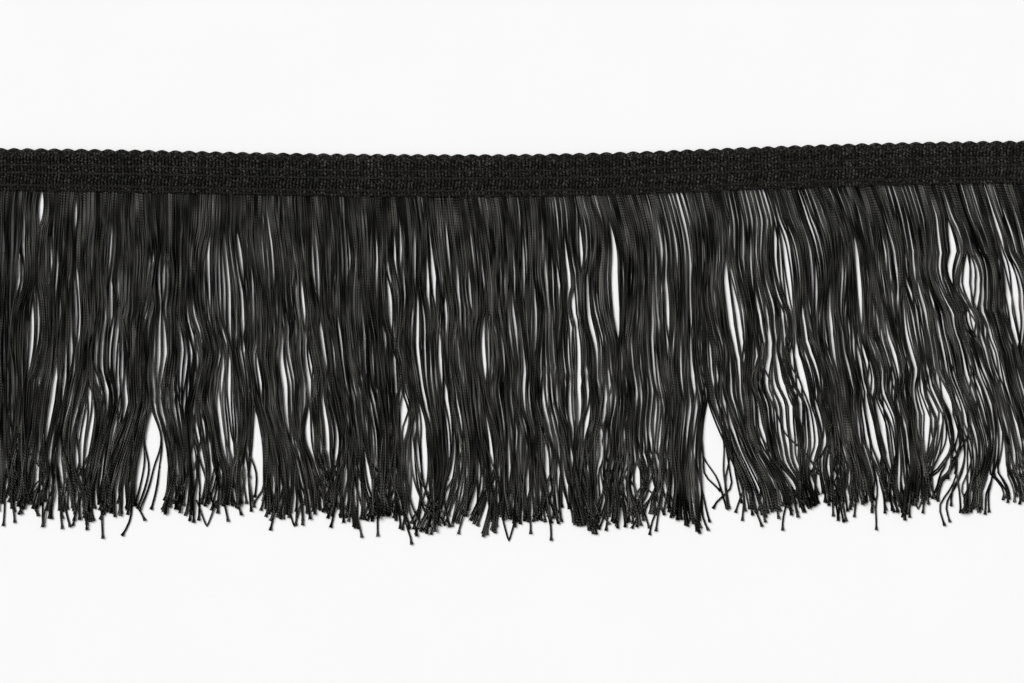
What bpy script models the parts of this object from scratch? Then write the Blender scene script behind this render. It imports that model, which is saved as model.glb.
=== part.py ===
"""Tassel fringe trim: a crochet-knit heading with a scalloped top edge and a long cut fringe.

The trim lies flat on its back on the plane z = 0. +X runs along the heading, +Y points up the
face from the fringe to the scallops, and the fringe hangs toward -Y. The origin is the middle of
the heading's flat back. Three solids: the heading, and the back and front rows of the fringe,
which are the two legs of the looped yarn after its loops are cut.
"""
from collections import namedtuple

import bmesh
import bpy
import numpy as np

MM = 0.001

# Driving dimensions of the whole trim
TRIM_LENGTH = 330 * MM
FRINGE_LENGTH = 98.5 * MM
CLEARANCE = 0.3 * MM

# Heading: a flat knitted slab with raised bands between its lengthwise stitch lines
HEADING_HEIGHT = 12.4 * MM
HEADING_THICKNESS = 1.6 * MM
BAND_RISE = 0.5 * MM
BAND_SINK = 0.3 * MM
BAND_SHOULDER = 0.35 * MM
BAND_END_INSET = 0.5 * MM
SCALLOP_PITCH = 4.08 * MM
SCALLOP_RISE = 0.67 * MM
SCALLOP_STEPS = 5
SPINE_STEP = 11 * MM

# Fringe: strands of three sides that lie on a flat base, in two rows, one on the other
STRANDS_IN_ROW = 150
STRAND_WIDTH = 1.45 * MM
STRAND_APEX = 0.55
BACKING_HEIGHT = 1.6 * MM
ROW_THICKNESS = 1.0 * MM
ROOT_LIFT = 0.12 * MM
FRONT_ROW_Z = 1.3 * MM
FRONT_ROW_REST_Z = 1.15 * MM
STRAND_SECTIONS = (0.0, 0.1, 0.34, 0.58, 0.8, 1.0)
END_MARGIN = 1.1 * MM
TIP_SPREAD = 2.6 * MM
WANDER = 0.45 * MM
WANDER_SPAN = 4

FLOW_STEPS = 60
GAP_REACH = 2.5

HEADING_COLOUR = (0.0116, 0.0116, 0.0113)
YARN_COLOUR = (0.0194, 0.0194, 0.0200)
YARN_ROUGHNESS = 0.8

# Each raised band of the heading, as distances below its top edge in mm
Band = namedtuple("Band", "top bottom")
BANDS = (
    Band(1.0, 4.2),
    Band(4.8, 6.9),
    Band(7.6, 10.0),
    Band(10.6, 12.1),
)

# How the trim lies along its length, in mm: rise lifts the heading's centre line, and the four
# leans are the strands' sideways drift per unit of depth, from root to tip, positive toward +X.
# reach is how far the tips come below or short of the common fringe length.
Station = namedtuple("Station", "along rise root_lean upper_lean lower_lean tip_lean reach")
STATIONS = (
    Station(-165, 1.9, -0.05, 0.00, 0.02, -0.05, -1.5),
    Station(-140, 1.7, -0.05, 0.00, -0.06, -0.10, -0.5),
    Station(-107, 1.2, -0.05, 0.02, 0.00, -0.06, 0.0),
    Station(-80, 0.6, 0.00, 0.02, 0.08, 0.03, -0.5),
    Station(-55, 0.2, 0.10, 0.05, 0.10, 0.05, 0.0),
    Station(-30, 0.0, 0.15, 0.04, 0.08, 0.00, 1.5),
    Station(0, 0.0, 0.15, 0.04, 0.10, 0.00, 0.5),
    Station(40, 0.9, 0.35, 0.04, 0.06, -0.05, 1.0),
    Station(68, 2.0, 0.25, 0.05, 0.20, 0.10, 0.0),
    Station(90, 2.8, 0.40, 0.08, 0.16, 0.10, -1.0),
    Station(115, 3.5, 0.35, 0.14, 0.13, 0.10, 0.5),
    Station(145, 4.0, 0.35, 0.22, 0.22, 0.15, 0.5),
    Station(165, 4.1, 0.20, 0.20, 0.10, 0.05, -0.5),
)
LEAN_DEPTHS = (0.0, 0.2, 0.65, 0.95)

# Lens-shaped partings in the fringe, in mm: where the middle lies along the trim and below the
# heading, then how tall and wide the parting is
Parting = namedtuple("Parting", "along down tall wide")
PARTINGS = (
    Parting(-148, 29, 20, 1.8),
    Parting(-144, 45, 31, 2.0),
    Parting(-138, 64, 37, 1.5),
    Parting(-128, 74, 33, 3.0),
    Parting(-121, 96, 12, 2.6),
    Parting(-118, 51, 21, 2.0),
    Parting(-108, 92, 50, 4.0),
    Parting(-106, 41, 42, 2.0),
    Parting(-87, 31, 37, 2.4),
    Parting(-86, 70, 38, 2.5),
    Parting(-79, 90, 50, 4.0),
    Parting(-68, 62, 32, 2.0),
    Parting(-61, 74, 17, 2.4),
    Parting(-56, 75, 31, 2.4),
    Parting(-36, 32, 24, 1.6),
    Parting(-32, 65, 16, 2.4),
    Parting(-28, 80, 33, 2.6),
    Parting(-8, 47, 23, 2.0),
    Parting(18, 43, 30, 2.2),
    Parting(20, 63, 17, 2.4),
    Parting(27, 97, 24, 2.6),
    Parting(31, 27, 36, 2.6),
    Parting(40, 87, 14, 2.6),
    Parting(65, 97, 66, 6.0),
    Parting(67, 40, 35, 2.4),
    Parting(82, 25, 28, 2.6),
    Parting(83, 72, 39, 2.4),
    Parting(86, 58, 20, 2.4),
    Parting(112, 75, 25, 2.6),
    Parting(125, 73, 30, 3.0),
    Parting(134, 22, 21, 2.0),
    Parting(139, 30, 17, 2.4),
    Parting(148, 97, 14, 4.5),
    Parting(152, 37, 29, 2.4),
)


def column(rows, name):
    """One named column of a table as an array."""
    return np.array([getattr(row, name) for row in rows], float)


def along_stations(name, x):
    """A column of the station table at the positions x in metres, eased between the rows."""
    stations = column(STATIONS, "along") * MM
    values = column(STATIONS, name)
    x = np.clip(x, stations[0], stations[-1])
    left = np.clip(np.searchsorted(stations, x, side="right") - 1, 0, len(stations) - 2)
    slopes = np.gradient(values, stations)
    span = stations[left + 1] - stations[left]
    t = (x - stations[left]) / span
    return (values[left] * (1 + 2 * t) * (1 - t) ** 2
            + slopes[left] * span * t * (1 - t) ** 2
            + values[left + 1] * t ** 2 * (3 - 2 * t)
            + slopes[left + 1] * span * t ** 2 * (t - 1))


def heading_middle(x):
    """Height in Y of the heading's centre line at x."""
    return along_stations("rise", x) * MM


def drift(x, depth_share):
    """Sideways drift of a strand per unit of depth, at x and a share of the fringe length."""
    leans = [along_stations(name, x) for name in ("root_lean", "upper_lean", "lower_lean", "tip_lean")]
    position = np.interp(depth_share, LEAN_DEPTHS, np.arange(len(LEAN_DEPTHS)))
    upper = min(int(position), len(LEAN_DEPTHS) - 2)
    blend = position - upper
    return leans[upper] * (1 - blend) + leans[upper + 1] * blend


class FringeFlow:
    """Where strands that leave the heading at the given roots lie at each depth."""

    def __init__(self, length):
        self.length = length
        self.depths = np.linspace(0, length, FLOW_STEPS + 1)
        self.roots = np.linspace(-TRIM_LENGTH, TRIM_LENGTH, int(2 * TRIM_LENGTH / MM) + 1)
        rows = [self.roots]
        step = length / FLOW_STEPS
        for depth in self.depths[:-1]:
            rows.append(rows[-1] + drift(rows[-1], depth / length) * step)
        self.places = np.array(rows)

    def place(self, root, depth):
        """Position along X of the strands with these roots at one depth, before any parting."""
        position = min(depth / self.length, 1.0) * FLOW_STEPS
        upper = min(int(position), FLOW_STEPS - 1)
        row = self.places[upper] * (1 - position + upper) + self.places[upper + 1] * (position - upper)
        return np.interp(root, self.roots, row)

    def parted(self, root, depth):
        """The same positions after the partings have pushed the strands aside."""
        plain = self.place(root, depth)
        shift = np.zeros_like(plain)
        for parting in PARTINGS:
            centre = self.centre_root(parting)
            off_centre = 2 * (depth - parting.down * MM) / (parting.tall * MM)
            width = parting.wide * MM * max(0.0, 1 - off_centre ** 2)
            distance = np.abs(plain - self.place(centre, depth))
            push = 0.5 * width * np.exp(-distance / (GAP_REACH * parting.wide * MM))
            shift += np.where(root < centre, -push, push)
        return plain + shift

    def centre_root(self, parting):
        """Root of the strand that would run down the middle of a parting."""
        level = np.searchsorted(self.depths, parting.down * MM)
        return np.interp(parting.along * MM, self.places[min(level, FLOW_STEPS)], self.roots)


def new_collection(name):
    collection = bpy.data.collections.new(name)
    bpy.context.scene.collection.children.link(collection)
    return collection


def yarn_material(name, colour):
    material = bpy.data.materials.new(name)
    material.use_nodes = True
    material.diffuse_color = (*colour, 1)
    shader = material.node_tree.nodes["Principled BSDF"]
    shader.inputs["Base Color"].default_value = (*colour, 1)
    shader.inputs["Roughness"].default_value = YARN_ROUGHNESS
    shader.inputs["Metallic"].default_value = 0.0
    return material


def poly_spline(curve, points, radii=None, cyclic=False):
    """Add a straight-segment spline through the points, with a radius at each."""
    spline = curve.splines.new("POLY")
    spline.points.add(len(points) - 1)
    for index, (point, place) in enumerate(zip(spline.points, points)):
        point.co = (*place, 1)
        point.radius = 1.0 if radii is None else radii[index]
    spline.use_cyclic_u = cyclic


def curve_to_mesh(curve_object, collection):
    """Replace a curve object by a closed mesh object of the same name."""
    evaluated = curve_object.evaluated_get(bpy.context.evaluated_depsgraph_get())
    mesh = bpy.data.meshes.new_from_object(evaluated)
    matrix, name = curve_object.matrix_world.copy(), curve_object.name
    bpy.data.objects.remove(curve_object)
    welded = bmesh.new()
    welded.from_mesh(mesh)
    bmesh.ops.remove_doubles(welded, verts=welded.verts, dist=0.01 * MM)
    bmesh.ops.recalc_face_normals(welded, faces=welded.faces)
    welded.to_mesh(mesh)
    welded.free()
    piece = bpy.data.objects.new(name, mesh)
    piece.matrix_world = matrix
    collection.objects.link(piece)
    return piece


def flat_plate(name, outline, thickness, collection):
    """A plate with the given outline, from z = 0 up."""
    curve = bpy.data.curves.new(name, "CURVE")
    curve.dimensions = "2D"
    curve.fill_mode = "BOTH"
    curve.extrude = thickness / 2
    poly_spline(curve, outline, cyclic=True)
    plate = bpy.data.objects.new(name, curve)
    plate.location.z = thickness / 2
    collection.objects.link(plate)
    return curve_to_mesh(plate, collection)


def swept(name, section, paths, collection):
    """Solids with one cross-section, of width 1 at radius 1, swept along each path of (points, radii)."""
    profile = bpy.data.curves.new(name + "_section", "CURVE")
    poly_spline(profile, [(across, up, 0) for across, up in section], cyclic=True)
    profile_object = bpy.data.objects.new(name + "_section", profile)
    collection.objects.link(profile_object)
    curve = bpy.data.curves.new(name, "CURVE")
    curve.dimensions = "3D"
    curve.twist_mode = "Z_UP"
    curve.bevel_mode = "OBJECT"
    curve.bevel_object = profile_object
    curve.use_fill_caps = True
    for points, radii in paths:
        poly_spline(curve, points, radii)
    sweep = bpy.data.objects.new(name, curve)
    collection.objects.link(sweep)
    piece = curve_to_mesh(sweep, collection)
    bpy.data.objects.remove(profile_object)
    return piece


def mark_as_tool(tool):
    tool.hide_render = True
    tool.display_type = "WIRE"


def join_with(base, tool):
    """Join a tool solid to the base by a live Boolean union."""
    union = base.modifiers.new("join " + tool.name, "BOOLEAN")
    union.operation = "UNION"
    union.solver = "EXACT"
    union.object = tool
    mark_as_tool(tool)


def spine_points(offset, z, inset=0.0):
    """Points along the trim at a distance above its centre line."""
    count = int(round(TRIM_LENGTH / SPINE_STEP))
    xs = np.linspace(-TRIM_LENGTH / 2 + inset, TRIM_LENGTH / 2 - inset, count + 1)
    return [(x, heading_middle(x) + offset, z) for x in xs]


def scalloped_outline():
    """The heading's outline: small round scallops along the top, a plain lower edge."""
    half = TRIM_LENGTH / 2
    scallops = int(round(TRIM_LENGTH / SCALLOP_PITCH))
    pitch = TRIM_LENGTH / scallops
    outline = [(point[0], point[1], 0) for point in spine_points(-HEADING_HEIGHT / 2, 0)]
    for number in range(scallops, 0, -1):
        for step in range(SCALLOP_STEPS):
            share = step / SCALLOP_STEPS
            x = -half + (number - share) * pitch
            lift = SCALLOP_RISE * (np.sqrt(max(0.0, 1 - (2 * share - 1) ** 2)) - 1)
            outline.append((x, heading_middle(x) + HEADING_HEIGHT / 2 + lift, 0))
    outline.append((-half, heading_middle(-half) + HEADING_HEIGHT / 2 - SCALLOP_RISE, 0))
    return outline


def band_section(band):
    """Cross-section of a raised band, with sloping shoulders, about its own middle."""
    half = (band.bottom - band.top) * MM / 2
    return ((-half, -BAND_SINK), (half, -BAND_SINK), (half - BAND_SHOULDER, BAND_RISE),
            (BAND_SHOULDER - half, BAND_RISE))


def build_heading(collection, tools):
    heading = flat_plate("heading", scalloped_outline(), HEADING_THICKNESS, collection)
    for number, band in enumerate(BANDS, 1):
        offset = HEADING_HEIGHT / 2 - (band.top + band.bottom) / 2 * MM
        path = spine_points(offset, HEADING_THICKNESS, BAND_END_INSET)
        join_with(heading, swept(f"heading_band_{number}", band_section(band), [(path, None)], tools))
    heading.data.materials.append(yarn_material("black knitted heading", HEADING_COLOUR))
    return heading


def strand_paths(flow, row_number, rest_z, root_z):
    """Centre lines and widths of one row's strands, none of which touch each other."""
    rng = np.random.default_rng(row_number)
    pitch = (TRIM_LENGTH - 2 * END_MARGIN) / STRANDS_IN_ROW
    roots = -TRIM_LENGTH / 2 + END_MARGIN + (np.arange(STRANDS_IN_ROW) + 0.25 + 0.5 * row_number) * pitch
    lengths = (FRINGE_LENGTH + along_stations("reach", roots) * MM
               + rng.uniform(-TIP_SPREAD, TIP_SPREAD, STRANDS_IN_ROW))
    window = np.hanning(WANDER_SPAN + 2)
    places = []
    for share in STRAND_SECTIONS:
        noise = np.convolve(rng.normal(0, 1, STRANDS_IN_ROW), window / window.sum(), "same")
        places.append(flow.parted(roots, share * FRINGE_LENGTH) + WANDER * share * noise)
    places = np.sort(np.array(places), axis=1)
    spacing = np.diff(places, axis=1)
    nearest = np.minimum(np.pad(spacing, ((0, 0), (1, 0)), mode="edge"),
                         np.pad(spacing, ((0, 0), (0, 1)), mode="edge"))
    widths = np.minimum(STRAND_WIDTH, nearest - CLEARANCE)
    lower_edge = heading_middle(roots) - HEADING_HEIGHT / 2 - CLEARANCE - BACKING_HEIGHT / 2
    paths = []
    for strand in range(STRANDS_IN_ROW):
        points = []
        for level, share in enumerate(STRAND_SECTIONS):
            z = root_z if level == 0 else rest_z
            y = lower_edge[strand] - share * (lengths[strand] - BACKING_HEIGHT / 2)
            points.append((places[level][strand], y, z))
        paths.append((points, widths[:, strand]))
    return paths


def build_fringe_row(name, row_number, backing_z, rest_z, material, collection, tools):
    """One backing strip, parted from the heading's lower edge, and the strands fused into it."""
    half = BACKING_HEIGHT / 2
    section = ((-half, 0), (half, 0), (half, ROW_THICKNESS), (-half, ROW_THICKNESS))
    middle = -HEADING_HEIGHT / 2 - CLEARANCE - half
    backing = swept(name, section, [(spine_points(middle, backing_z), None)], collection)
    flow = FringeFlow(FRINGE_LENGTH)
    triangle = ((-0.5, 0), (0.5, 0), (0, STRAND_APEX))
    paths = strand_paths(flow, row_number, rest_z, backing_z + ROOT_LIFT)
    join_with(backing, swept(name + "_strands", triangle, paths, tools))
    backing.data.materials.append(material)
    return backing


def main():
    for old in list(bpy.data.objects):
        bpy.data.objects.remove(old)
    trim = new_collection("tassel fringe trim")
    tools = new_collection("joining solids")
    build_heading(trim, tools)
    yarn = yarn_material("black fringe yarn", YARN_COLOUR)
    build_fringe_row("fringe_back_row", 0, 0.0, 0.0, yarn, trim, tools)
    build_fringe_row("fringe_front_row", 1, FRONT_ROW_Z, FRONT_ROW_REST_Z, yarn, trim, tools)


main()
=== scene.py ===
"""Tassel fringe trim in black rayon: a crochet-knit heading with a scalloped edge and a long cut fringe.

Run as a script, it dresses the trim's solids with every yarn. The panel in the 3D view's sidebar
lists the same steps, and the sizes and colours that they use.
"""

import math
from collections import namedtuple

import bmesh
import bpy
import numpy as np
from bpy.props import FloatProperty, FloatVectorProperty, IntProperty, PointerProperty
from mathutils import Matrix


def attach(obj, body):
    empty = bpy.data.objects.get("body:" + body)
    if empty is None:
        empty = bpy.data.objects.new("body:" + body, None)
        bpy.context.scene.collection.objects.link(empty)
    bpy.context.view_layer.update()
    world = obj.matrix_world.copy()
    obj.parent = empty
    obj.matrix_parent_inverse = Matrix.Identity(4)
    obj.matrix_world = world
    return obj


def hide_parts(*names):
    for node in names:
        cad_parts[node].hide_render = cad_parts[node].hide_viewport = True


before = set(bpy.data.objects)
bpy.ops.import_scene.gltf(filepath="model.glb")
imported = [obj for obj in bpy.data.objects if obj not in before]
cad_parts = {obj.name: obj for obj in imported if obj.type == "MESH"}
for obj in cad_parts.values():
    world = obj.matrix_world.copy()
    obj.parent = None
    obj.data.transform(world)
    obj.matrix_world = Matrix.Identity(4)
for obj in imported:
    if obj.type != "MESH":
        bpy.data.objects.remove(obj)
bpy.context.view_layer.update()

bl_info = {
    "name": "Tassel fringe trim",
    "version": (1, 0, 0),
    "blender": (4, 5, 0),
    "location": "View3D > Sidebar > Fringe trim",
    "description": "Builds a knitted fringe trim yarn by yarn, with its table and lights",
    "category": "Add Mesh",
}

MM = 0.001
BODY = "root"

# Lie of the trim, in mm and in sideways drift per unit of depth, from the roots to the tips.
# rise lifts the heading's centre line.
Station = namedtuple("Station", "along rise root_lean upper_lean lower_lean tip_lean")
STATIONS = tuple(Station(*row) for row in (
    (-165, 1.9, -0.05, 0.00, 0.02, -0.05),
    (-140, 1.7, -0.05, 0.00, -0.06, -0.10),
    (-107, 1.2, -0.05, 0.02, 0.00, -0.06),
    (-80, 0.6, 0.00, 0.02, 0.08, 0.03),
    (-55, 0.2, 0.10, 0.05, 0.10, 0.05),
    (-30, 0.0, 0.15, 0.04, 0.08, 0.00),
    (0, 0.0, 0.15, 0.04, 0.10, 0.00),
    (40, 0.9, 0.35, 0.04, 0.06, -0.05),
    (68, 2.0, 0.25, 0.05, 0.20, 0.10),
    (90, 2.8, 0.40, 0.08, 0.16, 0.10),
    (115, 3.5, 0.35, 0.14, 0.13, 0.10),
    (145, 4.0, 0.35, 0.22, 0.22, 0.15),
    (165, 4.1, 0.20, 0.20, 0.10, 0.05),
))
LEAN_DEPTHS = (0.0, 0.2, 0.65, 0.95)

# Where the shears cut lower or higher than the fringe's length, in mm at the places of the ends
CutPoint = namedtuple("CutPoint", "along reach")
CUT_POINTS = tuple(CutPoint(*row) for row in (
    (-152, -2.1), (-141, -0.7), (-128, 1.5), (-121, -2.6), (-118, 0.5),
    (-104, -1.9), (-99, 1.0), (-93, -1.5), (-86, -1.3), (-75, 0.5),
    (-69, -1.2), (-62, 0.9), (-57, -1.9), (-52, 0.0), (-47, 3.7),
    (-43, 1.0), (-36, 0.0), (-29, 3.6), (-25, 3.8), (-21, 0.9),
    (-18, 2.7), (-13, 0.0), (-8, 3.9), (-4, 0.6), (8, 0.1),
    (13, 2.3), (20, 3.4), (30, 0.9), (39, 2.0), (48, 0.2),
    (57, 3.6), (61, -2.0), (71, -0.7), (75, 1.3), (86, -0.7),
    (93, -1.7), (105, 2.5), (114, -0.9), (118, 1.7), (127, -3.0),
    (137, 3.2), (140, 0.8), (143, 4.0), (152, -0.9),
))

# The cut points are those of the longest yarns at each place, so the mean yarn is this much shorter
CUT_ALLOWANCE = 2.0 * MM

# Lens-shaped partings in the fringe, in the photo's pixels: the middle's column, the rows where it
# starts and ends, how far it opens, and how many strands still lie in it side by side
Parting = namedtuple("Parting", "column_px top_px bottom_px wide_px strands")
PARTINGS = tuple(Parting(*row) for row in (
    (22, 253, 318, 5, 1), (38, 289, 390, 8, 2), (41, 190, 235, 5, 0), (47, 467, 500, 5, 2),
    (57, 340, 463, 5, 0), (61, 285, 364, 3, 0), (72, 354, 455, 3, 0), (75, 196, 239, 3, 0),
    (77, 269, 352, 5, 1), (90, 380, 490, 11, 4), (110, 226, 291, 4, 1), (122, 236, 328, 6, 3),
    (123, 326, 395, 7, 3), (124, 382, 467, 4, 1), (163, 257, 308, 5, 2), (163, 316, 397, 7, 2),
    (184, 326, 405, 6, 4), (203, 407, 458, 5, 3), (213, 236, 338, 6, 2), (226, 236, 358, 8, 4),
    (228, 362, 486, 12, 5), (239, 229, 296, 3, 0), (255, 350, 413, 5, 1), (265, 216, 295, 5, 3),
    (286, 348, 453, 6, 2), (298, 279, 332, 4, 2), (306, 338, 427, 6, 2), (311, 413, 468, 8, 0),
    (315, 226, 318, 5, 2), (322, 320, 388, 4, 1), (326, 390, 492, 11, 4), (359, 273, 395, 5, 2),
    (368, 400, 500, 7, 4), (393, 264, 342, 6, 1), (397, 345, 403, 6, 1), (406, 386, 437, 8, 0),
    (420, 405, 515, 12, 3), (421, 297, 370, 5, 3), (445, 401, 494, 4, 0), (456, 324, 390, 4, 1),
    (465, 269, 318, 3, 1), (486, 314, 390, 8, 2), (488, 400, 495, 6, 3), (523, 413, 500, 5, 2),
    (537, 277, 368, 5, 2), (550, 437, 488, 5, 2), (572, 289, 326, 4, 0), (573, 316, 388, 8, 4),
    (577, 374, 430, 9, 5), (583, 210, 275, 6, 2), (603, 431, 475, 4, 1), (615, 223, 342, 10, 2),
    (643, 459, 500, 9, 2), (658, 388, 450, 5, 3), (662, 228, 326, 4, 1), (670, 275, 360, 4, 1),
    (715, 328, 390, 6, 3), (720, 283, 324, 3, 0), (734, 264, 380, 10, 2), (742, 352, 435, 7, 3),
    (757, 332, 388, 4, 0), (766, 392, 468, 8, 2), (780, 306, 376, 5, 2), (782, 224, 318, 12, 3),
    (786, 360, 490, 14, 5), (796, 346, 412, 11, 2), (805, 405, 480, 10, 4), (812, 253, 322, 3, 0),
    (828, 450, 490, 8, 4), (832, 280, 388, 3, 0), (858, 235, 336, 5, 1), (868, 340, 400, 7, 4),
    (871, 396, 485, 10, 4), (882, 394, 475, 9, 1), (910, 288, 395, 8, 4), (925, 375, 475, 14, 3),
    (937, 382, 424, 6, 1), (942, 423, 490, 9, 4), (956, 220, 290, 9, 1), (971, 255, 312, 12, 3),
    (974, 315, 343, 6, 2), (994, 327, 388, 4, 0), (1014, 260, 355, 12, 2),
))

# Partings that stay open down to the cut ends, in mm along the trim and below the heading
OpenParting = namedtuple("OpenParting", "along down tall wide")
OPEN_PARTINGS = (
    OpenParting(-121, 97, 12, 2.6),
    OpenParting(-108, 92, 50, 9.0),
    OpenParting(-79, 92, 54, 5.0),
    OpenParting(27, 97, 26, 3.0),
    OpenParting(65, 97, 68, 10.5),
    OpenParting(139, 97, 12, 2.6),
    OpenParting(148, 97, 14, 5.0),
)

# Each strand that lies in a parting takes up this much of it
STRAND_SPREAD = 0.3 * MM

# How the yarns gather into locks that split and join again on the way down, in mm: the width and
# height of a lock, and how far the yarns move to it near the roots and lower down. The yarns of
# every layer move together, or each layer by itself.
Gathering = namedtuple("Gathering", "span tall at_root at_tip together")
GATHERINGS = (
    Gathering(9.0, 60, 0.25, 0.60, False),
    Gathering(3.5, 28, 0.08, 0.60, False),
    Gathering(2.4, 22, 0.06, 0.50, True),
    Gathering(4.5, 28, 0.08, 0.75, True),
    Gathering(9.0, 50, 0.00, 1.10, True),
)

# Share of the way from at_root to at_tip, at depths in mm
GATHER_DEPTHS = (0, 25, 70, 98)
GATHER_SHARES = (0.0, 0.7, 0.7, 1.0)

# Yarns stray less beside a parting. Those that still stray into it close a part of it, so it is
# opened this many times as wide as it looks, and a little more for each strand that lies in it.
PARTING_CALM = 0.7
PARTING_GAIN = 1.2
STRAND_GAIN = 0.08

# Some yarns do not follow their lock to the side of a parting, and lie across it by themselves
STRAGGLER_SHARE = 0.06
STRAGGLER_SHIFT = (-0.3, 0.7)

# Yarns that leave their lock and lie by themselves, in mm along the trim and below the heading
Wanderer = namedtuple("Wanderer", "start_along start_down mid_along mid_down end_along end_down")
WANDERERS = tuple(Wanderer(*row) for row in (
    (-121, 26, -118.5, 36, -116.5, 98),
    (-119, 30, -120, 38, -122, 97),
    (134, 30, 136.5, 40, 141, 99),
    (142, 30, 140.5, 42, 138, 98),
    (-142, 90, -142.2, 97, -142.2, 102),
    (-124.5, 90, -124.3, 98, -124, 105.2),
    (-115.5, 92, -116.3, 101, -118.2, 104.2),
    (-115, 92, -113, 96, -111.2, 99.6),
    (-110, 73, -111.6, 84, -114.2, 95),
    (-109.6, 72, -110.1, 85.2, -113.6, 96),
    (-108.9, 72, -108.8, 84.4, -112.9, 96.4),
    (-107.9, 72, -107, 84.4, -109.4, 96.2),
    (-103.8, 86, -104.4, 91.5, -105.7, 96.8),
    (-103.4, 86, -103.8, 91.5, -104.9, 97.2),
    (-82.3, 76, -81, 85, -83.2, 95),
    (-83.6, 92, -82.8, 95, -82, 97.5),
    (-79.3, 75, -77.4, 85, -78, 92),
    (-76.6, 90, -77.4, 92, -78.4, 93.8),
    (-60.8, 74, -58, 84, -55.8, 96.5),
    (-58, 76, -57.4, 88, -56.8, 96),
    (-40.9, 95, -40.8, 99, -40.7, 103.2),
    (-32, 94, -32.8, 98, -33.3, 101.2),
    (-29, 78, -27.6, 92, -29.2, 102.6),
    (-23.6, 84, -23.4, 95, -24.6, 102.6),
    (5.6, 96, 5.6, 99, 5.6, 102.4),
    (11.8, 96, 11.8, 100, 11.8, 104.4),
    (28, 88, 27, 91, 26.2, 92.6),
    (27, 82, 28.4, 88, 28.4, 101.8),
    (41.2, 90, 38.8, 94.5, 36.6, 98),
    (41.8, 90, 39, 96, 36.2, 101.6),
    (42.6, 96, 42.2, 100, 41.6, 103.6),
    (57.4, 98, 58.2, 100, 59.4, 102.6),
    (62, 76, 64.2, 86.8, 65.8, 96.2),
    (62.6, 77, 64.4, 89, 65.2, 96.4),
    (60.4, 80, 62.4, 87.4, 65, 96),
    (59.1, 85.6, 61.2, 88.6, 63.2, 90.8),
    (63.4, 90, 62, 93.4, 60.8, 96.2),
    (70, 88, 69, 93, 67.6, 97.4),
    (70.3, 92, 70, 96, 69.7, 99.8),
    (74.4, 97, 75, 99.5, 75.7, 101.6),
    (89, 86.4, 84, 93.6, 81.9, 103.6),
    (92, 84, 87, 91, 83.6, 97),
    (110.3, 97, 110.3, 100, 110.3, 104.2),
    (128.3, 94, 129.6, 99, 131, 103.4),
    (130.6, 96, 131.6, 99, 132.6, 102.4),
))

# Ends of loops that the shears missed, in mm: a yarn comes down, turns and goes back up
UncutLoop = namedtuple("UncutLoop", "along down wide tall")
UNCUT_LOOPS = (
    UncutLoop(-92.5, 101, 6, 8),
    UncutLoop(-66, 100.5, 4, 7),
    UncutLoop(-1, 104.5, 4.4, 8),
    UncutLoop(123, 98.6, 5, 7),
)

# Small knots in single yarns, in mm
Knot = namedtuple("Knot", "along down")
KNOTS = (Knot(-152.5, 54), Knot(-93.5, 72), Knot(13.0, 67), Knot(101.0, 58))

# Heights of the weft bars' tops above the table, in mm, at distances below the heading's top
# edge: they swell between the stitch lines and are drawn down under each of them. shift leans
# the bars over sideways.
BarStop = namedtuple("BarStop", "below top shift")
BAR_STOPS = (
    BarStop(1.0, 1.60, 0.0),
    BarStop(2.6, 2.00, 0.0),
    BarStop(4.8, 1.45, -0.05),
    BarStop(6.0, 1.75, 0.02),
    BarStop(7.3, 1.45, 0.22),
    BarStop(8.9, 2.05, 0.0),
    BarStop(10.5, 1.40, -0.25),
    BarStop(11.4, 1.80, -0.1),
    BarStop(12.2, 1.60, 0.0),
    BarStop(12.6, 1.30, 0.0),
)

# Lines of chain stitches that bind the weft, in mm below the heading's top edge
ChainLine = namedtuple("ChainLine", "below top")
CHAIN_LINES = (
    ChainLine(4.8, 1.50),
    ChainLine(7.2, 1.80),
    ChainLine(11.0, 1.85),
    ChainLine(12.2, 1.55),
)

# Weft of the heading
SCALLOPS = 81
WEFT_PER_SCALLOP = 4
WEFT_RADIUS = 0.5 * MM
WEFT_SIDES = 7
WEFT_SEED = 11

# Each weft yarn turns over in an arch at the top edge: half the gap between the bars that it joins,
# in bars, the arch's half width and height, and how far its crown lies below the top
Arch = namedtuple("Arch", "half_gap half_width height top")
ARCHES = (
    Arch(1.5, 1.8 * MM, 0.6 * MM, 1.1 * MM),
    Arch(0.5, 0.72 * MM, 0.45 * MM, 1.8 * MM),
)
ARCH_POINTS = 7

# A bar is drawn in short steps, and thins where each stitch binds it
BAR_STEP = 0.33 * MM
BAR_JITTER = 0.05 * MM
STITCH = 1.2 * MM
STITCH_RANGE = (0.8, 1.3)
BEAD_THIN = 0.7
BEAD_SWELL = 0.42
BEAD_LIFT = 0.14 * MM

# The edge yarn rises over each scallop and dips between them
EDGE_TOP = 1.5 * MM
EDGE_LIFT = 0.3 * MM
EDGE_RISE = 0.6 * MM
EDGE_DIP = 0.3 * MM
EDGE_SHARPNESS = 1.4
EDGE_POINTS = 12

# Chain stitches: two strands that swing across each other and over each other, in their radii
CHAIN_RADIUS = 0.14 * MM
CHAIN_SWING = 0.24 * MM
CHAIN_RISE = 0.5
CHAIN_INSET = 0.5 * MM
CHAINS_PER_SCALLOP = 2
CHAIN_POINTS = 6
CHAIN_SIDES = 5

# Knitted ground behind the weft
GROUND_THICKNESS = 0.6 * MM
GROUND_INSET = 1.3 * MM
GROUND_STEPS = 220
GROUND_ROWS = 6

# Fringe yarns and their roots. The two legs of a loop lie almost over each other.
LAYERS = 4
YARN_SECTIONS = 50
YARN_SIDES = 6
YARN_SEED = 7
LEG_OFFSET = 0.14 * MM
ROOT_JITTER = 0.08 * MM
ROOT_OVERLAP = 1.0 * MM

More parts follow.
